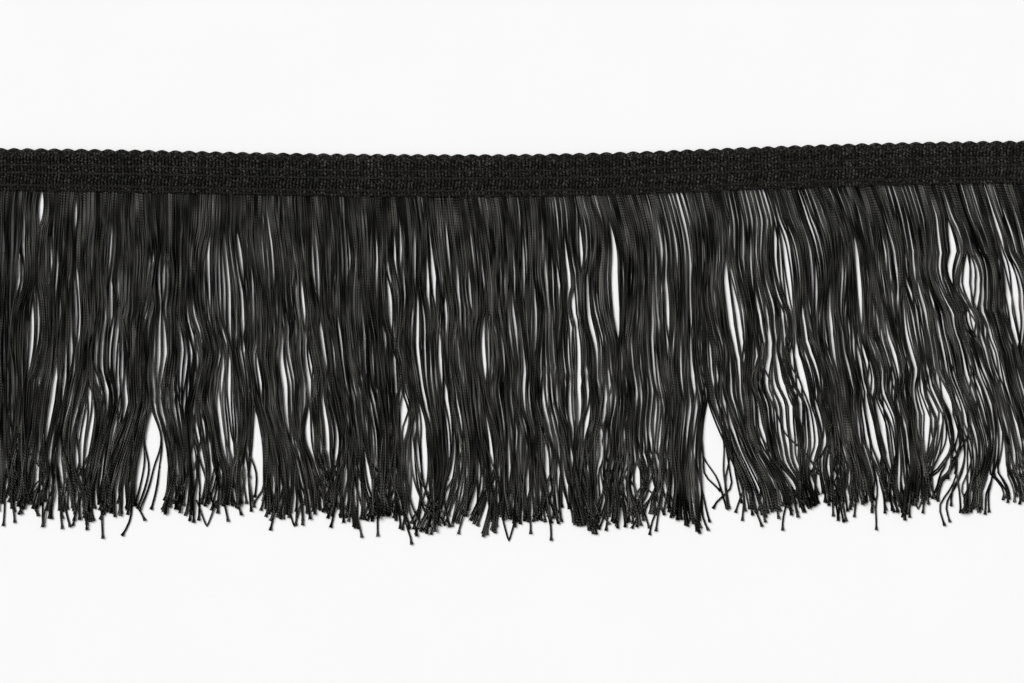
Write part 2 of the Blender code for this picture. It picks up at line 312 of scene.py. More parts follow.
# The flow of the yarns is traced in steps of depth. A parting pushes the yarns beside it, less and
# less within some of its widths, and has a soft edge.
FLOW_STEPS = 60
GAP_REACH = 2.5
EDGE_SOFTNESS = 0.06 * MM

# Each yarn wanders by itself, in long bends: what is random within less than one yarn is its own.
# The bends of a yarn that leaves its lock are smoothed.
WANDER_AT_ROOT = 0.09 * MM
WANDER_AT_TIP = 0.42 * MM
WANDER_REACH = 17 * MM
OWN_SPAN = 0.9
BEND_BLUR = (0.25, 0.5, 0.25)

# Near the cut, yarns fan out by themselves, some of them wildly, and draw together in clumps of one
# layer and in clumps of all layers
SPLAY_DEPTH = 26 * MM
SPLAY_CURVE = 1.8
OWN_SPLAY = 1.2 * MM
WILD_SHARE = 0.09
WILD_RANGE = (-7, 7)
LAYER_SPLAY = 2.6 * MM
LAYER_SPAN = 4.5 * MM
CLUMP_SHIFT = 2.2 * MM
CLUMP_SPAN = 5.0 * MM
CLUMP_SEED = 5

# The cut is uneven from yarn to yarn and in tufts, and some yarns are longer or shorter, in mm
CUT_SCATTER = 0.7 * MM
TUFT_REACH = 1.9 * MM
TUFT_SPAN = 1.6 * MM
LONG_SHARE = 0.06
LONG_RANGE = (1, 4.5)
SHORT_SHARE = 0.07
SHORT_RANGE = (2, 10)

# Yarns are uneven in thickness, and loosen towards the roots and the cut ends
GIRTH_SCATTER = 0.06
GIRTH_REACH = 5 * MM
ROOT_SWELL = 0.14
ROOT_SWELL_DEPTH = 24 * MM
END_SWELL = 0.2
END_SWELL_DEPTH = 16 * MM
KNOT_SWELL = 2.0

# A yarn rests on those under it and is pressed into them: the share of their height that it keeps,
# at the roots and below STACK_DEPTH. Their heights are kept in cells across and rows down.
STACK_AT_ROOT = 0.4
STACK_SHARE = 0.75
STACK_DEPTH = 14 * MM
STACK_BLUR = (0.1, 0.2, 0.4, 0.2, 0.1)
STACK_SEED = 3
CELL = 0.1 * MM
ROW = 2.0 * MM
MARGIN = 2 * MM

# Uncut loops turn a little rounder than a V, and lie higher at their sides
LOOP_POINTS = 15
LOOP_CURVE = 1.15
LOOP_LIFT = 1.2

# A cut end opens over its last part, and points too close to that part are left out
FLARE_START = 1.3 * MM
FLARE_CLEAR = 1.2
FLARE_WIDTH = 1.75

# Loose filaments start inside a cut end, off its middle, and bend away from the yarn
HAIRS_PER_END = 2
HAIR_SIDES = 3
HAIR_SEED = 23
HAIR_RADIUS = 0.05 * MM
HAIR_RADIUS_RANGE = (0.8, 1.6)
HAIR_TAPER = (1.0, 0.9, 0.5)
HAIR_LENGTHS = (0.3, 0.9)
HAIR_INSET = 0.4 * MM
HAIR_OFFSET = 0.7
HAIR_STEEPNESS = 0.8
HAIR_LEAN = 0.35
HAIR_CURL = (0.3, 1.0)
HAIR_BEND = 0.6

# How a yarn is spun: the length of one turn of its plies, their share of its relief, the depth of
# the relief, and how fast the fibres' pattern changes along it, compared with across
Twist = namedtuple("Twist", "pitch share depth stretch")
WEFT_TWIST = Twist(1.8 * MM, 0.05, 0.12 * MM, 0.9)
CHAIN_TWIST = Twist(0.6 * MM, 0.1, 0.03 * MM, 0.9)
FRINGE_TWIST = Twist(1.7 * MM, 0.1, 0.08 * MM, 0.04)
PLIES = 2
START_TURNS = 37.0
WEFT_ROUGHNESS = 0.75
CHAIN_ROUGHNESS = 0.5
YARN_SHINE = 0.03

# Pattern of the fibres: how far apart it is read on two yarns, over what length round a yarn, its
# fine and coarse cells in a metre, and the heights between which they turn paler, partly as wear and
# partly as painted highlight
YARN_APART = 100 * MM
YARN_GIRTH = 1.5 * MM
STREAKS = 2.2 / MM
STREAK_DETAIL = 4.0
SLUBS = 0.7 / MM
SLUB_DETAIL = 2.0
# Heights of the ply ridges and fibres where painted highlight and wear pale the yarn
RAISED_RANGE = (0.47, 0.74)
SLUB_RANGE = (0.2, 0.9)
TONE_WEIGHT = 0.7

# Ribs of the knitted ground. The wave texture draws one in each 0.314 / scale, so every 1.3 mm.
RIB_SCALE = 0.245 / MM
RIB_DEPTH = 0.2 * MM
RIB_STRENGTH = 0.8
GROUND_ROUGHNESS = 0.85

# Paper: patches about 33 mm wide, a little darker than the sheet
MOTTLE = 30.0
MOTTLE_DETAIL = 3.0
MOTTLE_SHADE = 0.985
PAPER_ROUGHNESS = 0.9
PAPER_SHINE = 0.2

# Stage: the width of one of the photo's pixels on the table, and the pixel at the origin
PIXEL = 0.303 * MM
PHOTO_WIDTH = 1024
PHOTO_HEIGHT = 683
ORIGIN_PIXEL = (512, 175.5)
LENS = 100
SENSOR = 36
LIGHT_SPREAD = 35
LIGHT_STRENGTH = 2.95
LIGHT_TURN = (-14, -30, 0)
ROOM_STRENGTH = 0.22
FLOOR_SIZE = 6.0
FLOOR_DROP = 0.0002


def from_hex(code):
    """An sRGB hex colour as linear red, green and blue."""
    parts = [int(code[start:start + 2], 16) / 255 for start in (0, 2, 4)]
    return tuple(part / 12.92 if part <= 0.04045 else ((part + 0.055) / 1.055) ** 2.4 for part in parts)


class TrimSizes(bpy.types.PropertyGroup):
    """Sizes of the trim."""

    length: FloatProperty(
        name="Length", description="Cut length of the trim", default=330 * MM, unit="LENGTH")
    heading_height: FloatProperty(
        name="Heading height", description="From the lower edge to the tops of the scallops",
        default=12.4 * MM, unit="LENGTH")
    fringe_length: FloatProperty(
        name="Fringe length", description="From the heading's lower edge to the cut ends",
        default=98.5 * MM, unit="LENGTH")
    yarn_diameter: FloatProperty(
        name="Yarn diameter", description="Diameter of one fringe yarn", default=0.48 * MM, unit="LENGTH")
    yarns_in_layer: IntProperty(
        name="Yarns in a layer", description="Fringe yarns in each of the layers that lie on each other",
        default=255, min=2)


class TrimFinish(bpy.types.PropertyGroup):
    """Colours and gloss of the yarns and of the table."""

    heading_colour: FloatVectorProperty(
        name="Heading", description="Colour of the heading's yarn", subtype="COLOR", size=3,
        default=from_hex("141413"))
    fringe_colour: FloatVectorProperty(
        name="Fringe", description="Colour of the fringe yarn", subtype="COLOR", size=3,
        default=from_hex("040404"))
    # Paler colour of the heading's ridges and raised fibres: partly wear, partly painted highlight
    heading_wear_and_sheen: FloatVectorProperty(
        name="Heading, wear and painted highlight",
        description="Paler colour of the heading's ply ridges and fibres, partly wear and partly painted highlight",
        subtype="COLOR", size=3, default=from_hex("52504b"))
    # Paler colour of the fringe's ridges and raised fibres: partly wear, partly painted highlight
    fringe_wear_and_sheen: FloatVectorProperty(
        name="Fringe, wear and painted highlight",
        description="Paler colour of the fringe's ply ridges and fibres, partly wear and partly painted highlight",
        subtype="COLOR", size=3, default=from_hex("6e6d69"))
    fringe_roughness: FloatProperty(
        name="Fringe roughness", description="Roughness of the rayon's sheen", default=0.7,
        subtype="FACTOR", min=0, max=1)
    table_colour: FloatVectorProperty(
        name="Table", description="Colour of the paper under the trim", subtype="COLOR", size=3,
        default=from_hex("fafafa"))


def column(rows, name):
    """One named column of a table as an array."""
    return np.array([getattr(row, name) for row in rows], float)


def along_stations(name, x):
    """A column of the station table at the positions x in metres, eased between the rows."""
    stations = column(STATIONS, "along") * MM
    values = column(STATIONS, name)
    x = np.clip(x, stations[0], stations[-1])
    left = np.clip(np.searchsorted(stations, x, side="right") - 1, 0, len(stations) - 2)
    slopes = np.gradient(values, stations)
    span = stations[left + 1] - stations[left]
    t = (x - stations[left]) / span
    return (values[left] * (1 + 2 * t) * (1 - t) ** 2
            + slopes[left] * span * t * (1 - t) ** 2
            + values[left + 1] * t ** 2 * (3 - 2 * t)
            + slopes[left + 1] * span * t ** 2 * (t - 1))


def heading_middle(x):
    """Height in Y of the heading's centre line at x."""
    return along_stations("rise", x) * MM


def drift(x, depth_share):
    """Sideways drift of a yarn per unit of depth, at x and a share of the fringe length."""
    leans = [along_stations(name, x) for name in ("root_lean", "upper_lean", "lower_lean", "tip_lean")]
    position = np.interp(depth_share, LEAN_DEPTHS, np.arange(len(LEAN_DEPTHS)))
    upper = min(int(position), len(LEAN_DEPTHS) - 2)
    blend = position - upper
    return leans[upper] * (1 - blend) + leans[upper + 1] * blend


class FringeFlow:
    """Where yarns that leave the heading at the given roots lie at each depth."""

    def __init__(self, trim_length, fringe_length, heading_height):
        self.length = fringe_length
        self.heading_height = heading_height
        self.depths = np.linspace(0, fringe_length, FLOW_STEPS + 1)
        self.roots = np.linspace(-trim_length, trim_length, int(2 * trim_length / MM) + 1)
        rows = [self.roots]
        step = fringe_length / FLOW_STEPS
        for depth in self.depths[:-1]:
            rows.append(rows[-1] + drift(rows[-1], depth / fringe_length) * step)
        self.places = np.array(rows)
        self.partings = self.opened()

    def place(self, root, depth):
        """Position along X of the yarns with these roots at one depth, before any parting."""
        position = min(depth / self.length, 1.0) * FLOW_STEPS
        upper = min(int(position), FLOW_STEPS - 1)
        row = self.places[upper] * (1 - position + upper) + self.places[upper + 1] * (position - upper)
        return np.interp(root, self.roots, row)

    def root_at(self, along, down):
        """Root of the yarn that passes a point of the fringe."""
        level = min(np.searchsorted(self.depths, down), FLOW_STEPS)
        return np.interp(along, self.places[level], self.roots)

    def opened(self):
        """Every parting as its root, its middle's depth, its height, its width and its softness."""
        partings = []
        for parting in OPEN_PARTINGS:
            down = parting.down * MM
            root = self.root_at(parting.along * MM, down)
            partings.append((root, down, parting.tall * MM, parting.wide * MM, EDGE_SOFTNESS))
        for parting in PARTINGS:
            along = (parting.column_px - ORIGIN_PIXEL[0]) * PIXEL
            down = self.depth_of_row(along, (parting.top_px + parting.bottom_px) / 2)
            tall = (parting.bottom_px - parting.top_px) * PIXEL
            wide = (PARTING_GAIN + STRAND_GAIN * parting.strands) * parting.wide_px * PIXEL
            spread = EDGE_SOFTNESS + parting.strands * STRAND_SPREAD
            partings.append((self.root_at(along, down), down, tall, wide, spread))
        return partings

    def depth_of_row(self, along, row_px):
        """Depth below the heading of a row of the photo's pixels."""
        edge = heading_middle(along) - self.heading_height / 2
        return edge - (ORIGIN_PIXEL[1] - row_px) * PIXEL

    def parted(self, root, depth, follow):
        """The positions after the partings have pushed the yarns aside, and how free each is to stray.

        follow is the share of the push that each yarn takes up.
        """
        plain = self.place(root, depth)
        shift = np.zeros_like(plain)
        freedom = np.ones_like(plain)
        for centre, down, tall, wide, spread in self.partings:
            off_centre = 2 * (depth - down) / tall
            if abs(off_centre) >= 1:
                continue
            opening = 1 - off_centre ** 2
            offset = plain - self.place(centre, depth)
            distance = np.abs(offset) / wide
            push = 0.5 * opening * wide * np.tanh(offset / spread) * np.exp(-distance / GAP_REACH)
            shift += push * follow
            freedom = np.minimum(freedom, 1 - PARTING_CALM * opening * np.exp(-distance))
        return plain + shift, freedom


def eased(t):
    """A share from 0 to 1 that starts and ends gently."""
    return t * t * (3 - 2 * t)


def drifting_noise(rng, roots, depths, span, reach):
    """Smooth random offsets of about 1 for each yarn and depth, over span across and reach down."""
    low = roots.min()
    across = (roots - low) / span
    down = depths / reach
    grid = rng.normal(0, 1, (int(across.max()) + 3, int(down.max()) + 3))
    column_index = across.astype(int)
    row_index = down.astype(int)
    u = eased(across - column_index)[:, None]
    v = eased(down - row_index)[None, :]
    corner = [[grid[np.ix_(column_index + i, row_index + j)] for j in (0, 1)] for i in (0, 1)]
    return ((corner[0][0] * (1 - u) + corner[1][0] * u) * (1 - v)
            + (corner[0][1] * (1 - u) + corner[1][1] * u) * v)


def add_node(tree, kind, settings=None, **inputs):
    """Add a node, set its properties, and set or link its inputs by name, or by number as i0, i1, i2."""
    node = tree.nodes.new(kind)
    for name, value in (settings or {}).items():
        setattr(node, name, value)
    for name, value in inputs.items():
        numbered = name[0] == "i" and name[1:].isdigit()
        socket = node.inputs[int(name[1:]) if numbered else name.replace("_", " ")]
        if isinstance(value, bpy.types.NodeSocket):
            tree.links.new(value, socket)
        else:
            socket.default_value = value
    return node


def new_material(name):
    """A material with its node tree and its shader."""
    material = bpy.data.materials.new(name)
    material.use_nodes = True
    tree = material.node_tree
    return material, tree, tree.nodes["Principled BSDF"]


def spun_yarn(name, dark, light, roughness, twist):
    """Dyed spun yarn: plies that wind round it, uneven uptake of dye, and loose fibres, with painted
    highlights on the ply ridges and painted shade in the grooves.
    """
    material, tree, shader = new_material(name)
    tone, along, around = [
        add_node(tree, "ShaderNodeAttribute", {"attribute_name": attribute}).outputs["Fac"]
        for attribute in ("tone", "along", "around")]
    # The plies are ridges that wind round the yarn once in each pitch, from a start of its own
    turns = add_node(tree, "ShaderNodeMath", {"operation": "MULTIPLY_ADD"},
                     i0=along, i1=1 / twist.pitch, i2=around)
    phase = add_node(tree, "ShaderNodeMath", {"operation": "MULTIPLY_ADD"},
                     i0=tone, i1=START_TURNS, i2=turns.outputs[0])
    angle = add_node(tree, "ShaderNodeMath", {"operation": "MULTIPLY"},
                     i0=phase.outputs[0], i1=PLIES * 2 * math.pi)
    ridge = add_node(tree, "ShaderNodeMath", {"operation": "SINE"}, i0=angle.outputs[0])
    # Fibres stand up from the plies in streaks half a millimetre wide that run along the yarn
    yarn = add_node(tree, "ShaderNodeCombineXYZ", X=tone, Y=along, Z=around)
    strands = add_node(tree, "ShaderNodeMapping", Vector=yarn.outputs[0],
                       Scale=(YARN_APART, twist.stretch, YARN_GIRTH))
    fibres = add_node(tree, "ShaderNodeTexNoise",
                      Vector=strands.outputs[0], Scale=STREAKS, Detail=STREAK_DETAIL)
    height = add_node(tree, "ShaderNodeMath", {"operation": "MULTIPLY_ADD"},
                      i0=ridge.outputs[0], i1=twist.share, i2=fibres.outputs["Fac"])
    bump = add_node(tree, "ShaderNodeBump", Height=height.outputs[0], Distance=twist.depth, Strength=1.0)
    tree.links.new(bump.outputs["Normal"], shader.inputs["Normal"])
    # Ply ridges and raised fibres are painted paler, partly as wear and partly as painted highlight, with
    # painted shade in the grooves; on some yarns and some stretches of them more than on others
    raised = add_node(tree, "ShaderNodeMapRange", Value=height.outputs[0],
                      From_Min=RAISED_RANGE[0], From_Max=RAISED_RANGE[1])
    slub = add_node(tree, "ShaderNodeTexNoise",
                    Vector=strands.outputs[0], Scale=SLUBS, Detail=SLUB_DETAIL)
    patch = add_node(tree, "ShaderNodeMapRange", Value=slub.outputs["Fac"],
                     From_Min=SLUB_RANGE[0], From_Max=SLUB_RANGE[1])
    uneven = add_node(tree, "ShaderNodeMath", {"operation": "MULTIPLY_ADD"},
                      i0=tone, i1=TONE_WEIGHT, i2=patch.outputs[0])
    # Painted light: ridges and raised fibres take the paler colour as painted highlight and wear, and the
    # grooves keep the dark one as painted shade
    wear_and_sheen = add_node(tree, "ShaderNodeMath", {"operation": "MULTIPLY", "use_clamp": True},
                    i0=raised.outputs[0], i1=uneven.outputs[0])
    colour = add_node(tree, "ShaderNodeMix", {"data_type": "RGBA"},
                      i0=wear_and_sheen.outputs[0], i6=(*dark, 1), i7=(*light, 1))
    tree.links.new(colour.outputs[2], shader.inputs["Base Color"])
    shader.inputs["Roughness"].default_value = roughness
    shader.inputs["Specular IOR Level"].default_value = YARN_SHINE
    return material


def knitted_ground(name, dark, light):
    """The heading's back: flat knitted ribs that run across it, paler on their crests, partly as wear and
    partly as painted highlight, with painted shade in the troughs.
    """
    material, tree, shader = new_material(name)
    place = add_node(tree, "ShaderNodeTexCoord")
    ribs = add_node(tree, "ShaderNodeTexWave", {"bands_direction": "X"},
                    Vector=place.outputs["Object"], Scale=RIB_SCALE, Distortion=1.0, Detail=1.0)
    # Painted light and shade: the ribs' crests take the paler colour and their troughs the darker one, in
    # step with the bump
    colour = add_node(tree, "ShaderNodeMix", {"data_type": "RGBA"},
                      i0=ribs.outputs["Fac"], i6=(*dark, 1), i7=(*light, 1))
    tree.links.new(colour.outputs[2], shader.inputs["Base Color"])
    bump = add_node(tree, "ShaderNodeBump",
                    Height=ribs.outputs["Fac"], Distance=RIB_DEPTH, Strength=RIB_STRENGTH)
    tree.links.new(bump.outputs["Normal"], shader.inputs["Normal"])
    shader.inputs["Roughness"].default_value = GROUND_ROUGHNESS
    return material


def white_paper(name, colour):
    """Matte white backing paper with a faint mottle."""
    material, tree, shader = new_material(name)
    place = add_node(tree, "ShaderNodeTexCoord")
    mottle = add_node(tree, "ShaderNodeTexNoise",
                      Vector=place.outputs["Object"], Scale=MOTTLE, Detail=MOTTLE_DETAIL)
    shaded = [part * MOTTLE_SHADE for part in colour]
    mixed = add_node(tree, "ShaderNodeMix", {"data_type": "RGBA"},
                     i0=mottle.outputs["Fac"], i6=(*shaded, 1), i7=(*colour, 1))
    tree.links.new(mixed.outputs[2], shader.inputs["Base Color"])
    shader.inputs["Roughness"].default_value = PAPER_ROUGHNESS
    shader.inputs["Specular IOR Level"].default_value = PAPER_SHINE
    return material


def yarn_tube_nodes(sides):
    """Geometry nodes that give splines a round section, with along, around and tone on every point."""
    name = f"yarn tube of {sides} sides"
    if name in bpy.data.node_groups:
        return bpy.data.node_groups[name]
    tree = bpy.data.node_groups.new(name, "GeometryNodeTree")
    tree.interface.new_socket("Geometry", in_out="INPUT", socket_type="NodeSocketGeometry")
    tree.interface.new_socket("Geometry", in_out="OUTPUT", socket_type="NodeSocketGeometry")
    splines = add_node(tree, "NodeGroupInput")
    result = add_node(tree, "NodeGroupOutput")
    parameter = add_node(tree, "GeometryNodeSplineParameter")
    radius = add_node(tree, "GeometryNodeInputRadius")
    chance = add_node(tree, "FunctionNodeRandomValue", {"data_type": "FLOAT"})

    def keep(geometry, attribute, value, domain="POINT"):
        settings = {"data_type": "FLOAT", "domain": domain}
        stored = add_node(tree, "GeometryNodeStoreNamedAttribute", settings,
                          Geometry=geometry, Name=attribute, Value=value)
        return stored.outputs[0]

    circle = add_node(tree, "GeometryNodeCurvePrimitiveCircle", Resolution=sides, Radius=1.0)
    # The seam of the section faces the table
    turned = add_node(tree, "GeometryNodeTransform", Geometry=circle.outputs[0],
                      Rotation=(0, 0, math.pi / 2 + math.pi / sides))
    section = keep(turned.outputs[0], "around", parameter.outputs["Factor"])
    path = keep(splines.outputs[0], "along", parameter.outputs["Length"])
    path = keep(path, "tone", chance.outputs[1], "CURVE")
    tube = add_node(tree, "GeometryNodeCurveToMesh", Curve=path, Profile_Curve=section,
                    Scale=radius.outputs[0], Fill_Caps=True)
    tree.links.new(tube.outputs[0], result.inputs[0])
    return tree


def spin(name, paths, sides, material):
    """One piece of many yarns: each path is its points and its radius at each."""
    curve = bpy.data.curves.new(name, "CURVE")
    curve.dimensions = "3D"
    curve.twist_mode = "Z_UP"
    for points, radii in paths:
        spline = curve.splines.new("POLY")
        spline.points.add(len(points) - 1)
        flat = np.ones((len(points), 4), np.float32)
        flat[:, :3] = points
        spline.points.foreach_set("co", flat.ravel())
        spline.points.foreach_set("radius", np.asarray(radii, np.float32))
    source = bpy.data.objects.new(name + "_paths", curve)
    bpy.context.scene.collection.objects.link(source)
    source.modifiers.new("round section", "NODES").node_group = yarn_tube_nodes(sides)
    mesh = bpy.data.meshes.new_from_object(
        source.evaluated_get(bpy.context.evaluated_depsgraph_get()))
    bpy.data.objects.remove(source)
    mesh.name = name
    mesh.shade_smooth()
    return finish_piece(name, mesh, material)


def finish_piece(name, mesh, material):
    """Link a mesh as a piece of the trim, with its material, on the trim's body."""
    mesh.materials.clear()
    mesh.materials.append(material)
    piece = bpy.data.objects.new(name, mesh)
    bpy.context.scene.collection.objects.link(piece)
    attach(piece, BODY)
    return piece


def heading_top(x, sizes):
    """Height in Y of the heading's top edge at x."""
    return heading_middle(x) + sizes.heading_height / 2


def bar_points(x, below, sizes):
    """Points of a weft bar at x, at distances below the heading's top edge."""
    stops = column(BAR_STOPS, "below") * MM
    tops = np.interp(below, stops, column(BAR_STOPS, "top") * MM)
    shift = np.interp(below, stops, column(BAR_STOPS, "shift") * MM)
    return np.column_stack([x + shift, heading_top(x, sizes) - below, tops - WEFT_RADIUS])


def weft_path(middle, bar_gap, arch, sizes):
    """A weft yarn that comes up the heading, turns over in an arch, and goes back down."""
    bars_end = column(BAR_STOPS, "below")[-1] * MM
    below = np.arange(arch.top + arch.height + BAR_STEP, bars_end, BAR_STEP)
    angles = np.linspace(np.pi, 0, ARCH_POINTS)
    turn = bar_points(middle, arch.top + arch.height * (1 - np.sin(angles)), sizes)
    turn[:, 0] = middle + arch.half_width * np.cos(angles)
    half_gap = arch.half_gap * bar_gap
    rising = bar_points(middle - half_gap, below[::-1], sizes)
    falling = bar_points(middle + half_gap, below, sizes)
    return np.vstack([rising, turn, falling])


class TRIM_OT_knitted_ground(bpy.types.Operator):
    """Lay the heading's knitted ground, a flat strip behind the weft bars"""

    bl_idname = "trim.knitted_ground"
    bl_label = "Knitted ground"

    def execute(self, context):
        sizes, finish = context.scene.trim_sizes, context.scene.trim_finish
        strip = bmesh.new()
        bmesh.ops.create_grid(strip, x_segments=GROUND_STEPS, y_segments=GROUND_ROWS, size=0.5)
        height = sizes.heading_height - GROUND_INSET
        for vertex in strip.verts:
            x = vertex.co.x * sizes.length
            vertex.co = (x, heading_middle(x) + vertex.co.y * height - GROUND_INSET / 2, GROUND_THICKNESS)
        bmesh.ops.solidify(strip, geom=strip.faces[:], thickness=GROUND_THICKNESS)
        bmesh.ops.recalc_face_normals(strip, faces=strip.faces)
        mesh = bpy.data.meshes.new("heading_ground")
        strip.to_mesh(mesh)
        strip.free()
        material = knitted_ground("black rayon, knitted flat", finish.heading_colour, finish.heading_wear_and_sheen)
        piece = finish_piece("heading_ground", mesh, material)
        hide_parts("heading")
        return {"FINISHED"}


class TRIM_OT_weft(bpy.types.Operator):
    """Lay the weft yarns side by side and turn them over into the scallops of the top edge"""

    bl_idname = "trim.weft"
    bl_label = "Weft bars and scallops"

    def execute(self, context):
        sizes, finish = context.scene.trim_sizes, context.scene.trim_finish
        pitch = sizes.length / SCALLOPS
        rng = np.random.default_rng(WEFT_SEED)
        paths = []
        for number in range(SCALLOPS):
            middle = -sizes.length / 2 + (number + 0.5) * pitch
            for arch in ARCHES:
                points = weft_path(middle, pitch / WEFT_PER_SCALLOP, arch, sizes)
                stitch = STITCH * rng.uniform(*STITCH_RANGE)
                bead = np.abs(np.sin(np.pi * (np.arange(len(points)) * BAR_STEP / stitch + rng.random())))
                points[:, 0] += BAR_JITTER * rng.normal(0, 1, len(points))
                points[:, 2] += BAR_JITTER * rng.normal(0, 1) + BEAD_LIFT * (bead - 0.5)
                paths.append((points, WEFT_RADIUS * (BEAD_THIN + BEAD_SWELL * bead)))
        material = spun_yarn("black rayon, plied and knitted",
                             finish.heading_colour, finish.heading_wear_and_sheen, WEFT_ROUGHNESS, WEFT_TWIST)
        piece = spin("heading_weft", paths, WEFT_SIDES, material)
        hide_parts("heading")
        # The edge yarn rides over the turned weft in one low wave for each scallop
        count = SCALLOPS * EDGE_POINTS
        x = np.linspace(-sizes.length / 2 + WEFT_RADIUS, sizes.length / 2 - WEFT_RADIUS, count)
        wave = np.abs(np.sin(np.pi * (x / pitch + SCALLOPS / 2))) ** EDGE_SHARPNESS
        y = heading_top(x, sizes) + EDGE_LIFT - WEFT_RADIUS - EDGE_RISE * (1 - wave)
        z = EDGE_TOP - WEFT_RADIUS - EDGE_DIP * (1 - wave)
        edge = (np.column_stack([x, y, z]), np.full(count, WEFT_RADIUS))
        piece = spin("heading_edge", [edge], WEFT_SIDES, material)
        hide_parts("heading")
        return {"FINISHED"}


class TRIM_OT_chains(bpy.types.Operator):
    """Stitch the lengthwise chains that bind the weft bars"""

    bl_idname = "trim.chains"
    bl_label = "Chain stitches"

    def execute(self, context):
        sizes, finish = context.scene.trim_sizes, context.scene.trim_finish
        stitches = SCALLOPS * CHAINS_PER_SCALLOP
        count = stitches * CHAIN_POINTS
        x = np.linspace(-sizes.length / 2 + CHAIN_INSET, sizes.length / 2 - CHAIN_INSET, count)
        phase = np.pi * 2 * stitches * (x / sizes.length)
        paths = []
        for line in CHAIN_LINES:
            for side in (-1, 1):
                y = heading_top(x, sizes) - line.below * MM + side * CHAIN_SWING * np.sin(phase)
                z = line.top * MM - CHAIN_RADIUS + CHAIN_RISE * side * CHAIN_RADIUS * np.cos(phase)
                paths.append((np.column_stack([x, y, z]), np.full(count, CHAIN_RADIUS)))
        material = spun_yarn("black polyester, chain stitched",
                             finish.heading_colour, finish.heading_wear_and_sheen, CHAIN_ROUGHNESS, CHAIN_TWIST)
        piece = spin("heading_chains", paths, CHAIN_SIDES, material)
        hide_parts("heading")
        return {"FINISHED"}


def nearest_yarn(places, depths, along, down, taken=()):
    """Index of the yarn that passes closest to a point of the fringe and isn't taken yet."""
    distances = np.abs(places[:, np.argmin(np.abs(depths - down * MM))] - along * MM)
    distances[list(taken)] = np.inf
    return int(np.argmin(distances))


def strayed(rng, layer, roots, depths):
    """How far each yarn moves sideways at each depth to draw into its lock, and to fan out at its end."""
    moves = np.zeros((len(roots), len(depths)))
    each_layer = [layer == number for number in range(LAYERS)]
    spread = np.interp(depths / MM, GATHER_DEPTHS, GATHER_SHARES)
    for lock in GATHERINGS:
        amount = (lock.at_root + (lock.at_tip - lock.at_root) * spread) * MM
        for own in [layer >= 0] if lock.together else each_layer:
            moves[own] += amount * drifting_noise(rng, roots[own], depths, lock.span * MM, lock.tall * MM)
    alone = WANDER_AT_ROOT + (WANDER_AT_TIP - WANDER_AT_ROOT) * spread
    moves += alone * drifting_noise(rng, np.arange(len(roots)) * 1.0, depths, OWN_SPAN, WANDER_REACH)
    moves += rng.normal(0, ROOT_JITTER, len(roots))[:, None]
    tail = np.clip((depths - depths[-1] + SPLAY_DEPTH) / SPLAY_DEPTH, 0, 1)
    splay = rng.normal(0, OWN_SPLAY, len(roots))
    wild = rng.random(len(roots)) < WILD_SHARE
    splay[wild] = rng.uniform(*WILD_RANGE, wild.sum()) * MM
    for own in each_layer:
        splay[own] += LAYER_SPLAY * drifting_noise(rng, roots[own], np.zeros(1), LAYER_SPAN, MM)[:, 0]
    clumps = drifting_noise(np.random.default_rng(CLUMP_SEED), roots, np.zeros(1), CLUMP_SPAN, MM)[:, 0]
    return moves + (splay + CLUMP_SHIFT * clumps)[:, None] * tail ** SPLAY_CURVE


def cut_lengths(rng, roots, ends, sizes):
    """Length of each yarn: the shears' line, then tufts and single yarns that are longer or shorter."""
    reach = np.interp(ends / MM, column(CUT_POINTS, "along"), column(CUT_POINTS, "reach"))
    lengths = sizes.fringe_length + reach * MM - CUT_ALLOWANCE + rng.normal(0, CUT_SCATTER, len(roots))
    lengths += TUFT_REACH * drifting_noise(rng, roots, np.zeros(1), TUFT_SPAN, MM)[:, 0]
    long = rng.random(len(roots)) < LONG_SHARE
    lengths[long] += rng.uniform(*LONG_RANGE, long.sum()) * MM
    short = rng.random(len(roots)) < SHORT_SHARE
    lengths[short] -= rng.uniform(*SHORT_RANGE, short.sum()) * MM
    return lengths


def lead_astray(places, lengths, depths, wanderer, taken):
    """Bend the free yarn nearest to the wanderer's start along the curve through its points."""
    yarn = nearest_yarn(places, depths, wanderer.start_along, wanderer.start_down, taken)
    taken.add(yarn)
    lengths[yarn] = wanderer.end_down * MM
    down = depths / depths[-1] * wanderer.end_down
    curve = np.polyfit((wanderer.start_down, wanderer.mid_down, wanderer.end_down),
                       (wanderer.start_along, wanderer.mid_along, wanderer.end_along), 2)
    share = np.clip((down - wanderer.start_down) / (wanderer.mid_down - wanderer.start_down), 0, 1)
    bent = places[yarn] + eased(share) * (np.polyval(curve, down) * MM - places[yarn])
    places[yarn, 1:-1] = np.convolve(bent, BEND_BLUR, "valid")
    places[yarn, -1] = bent[-1]


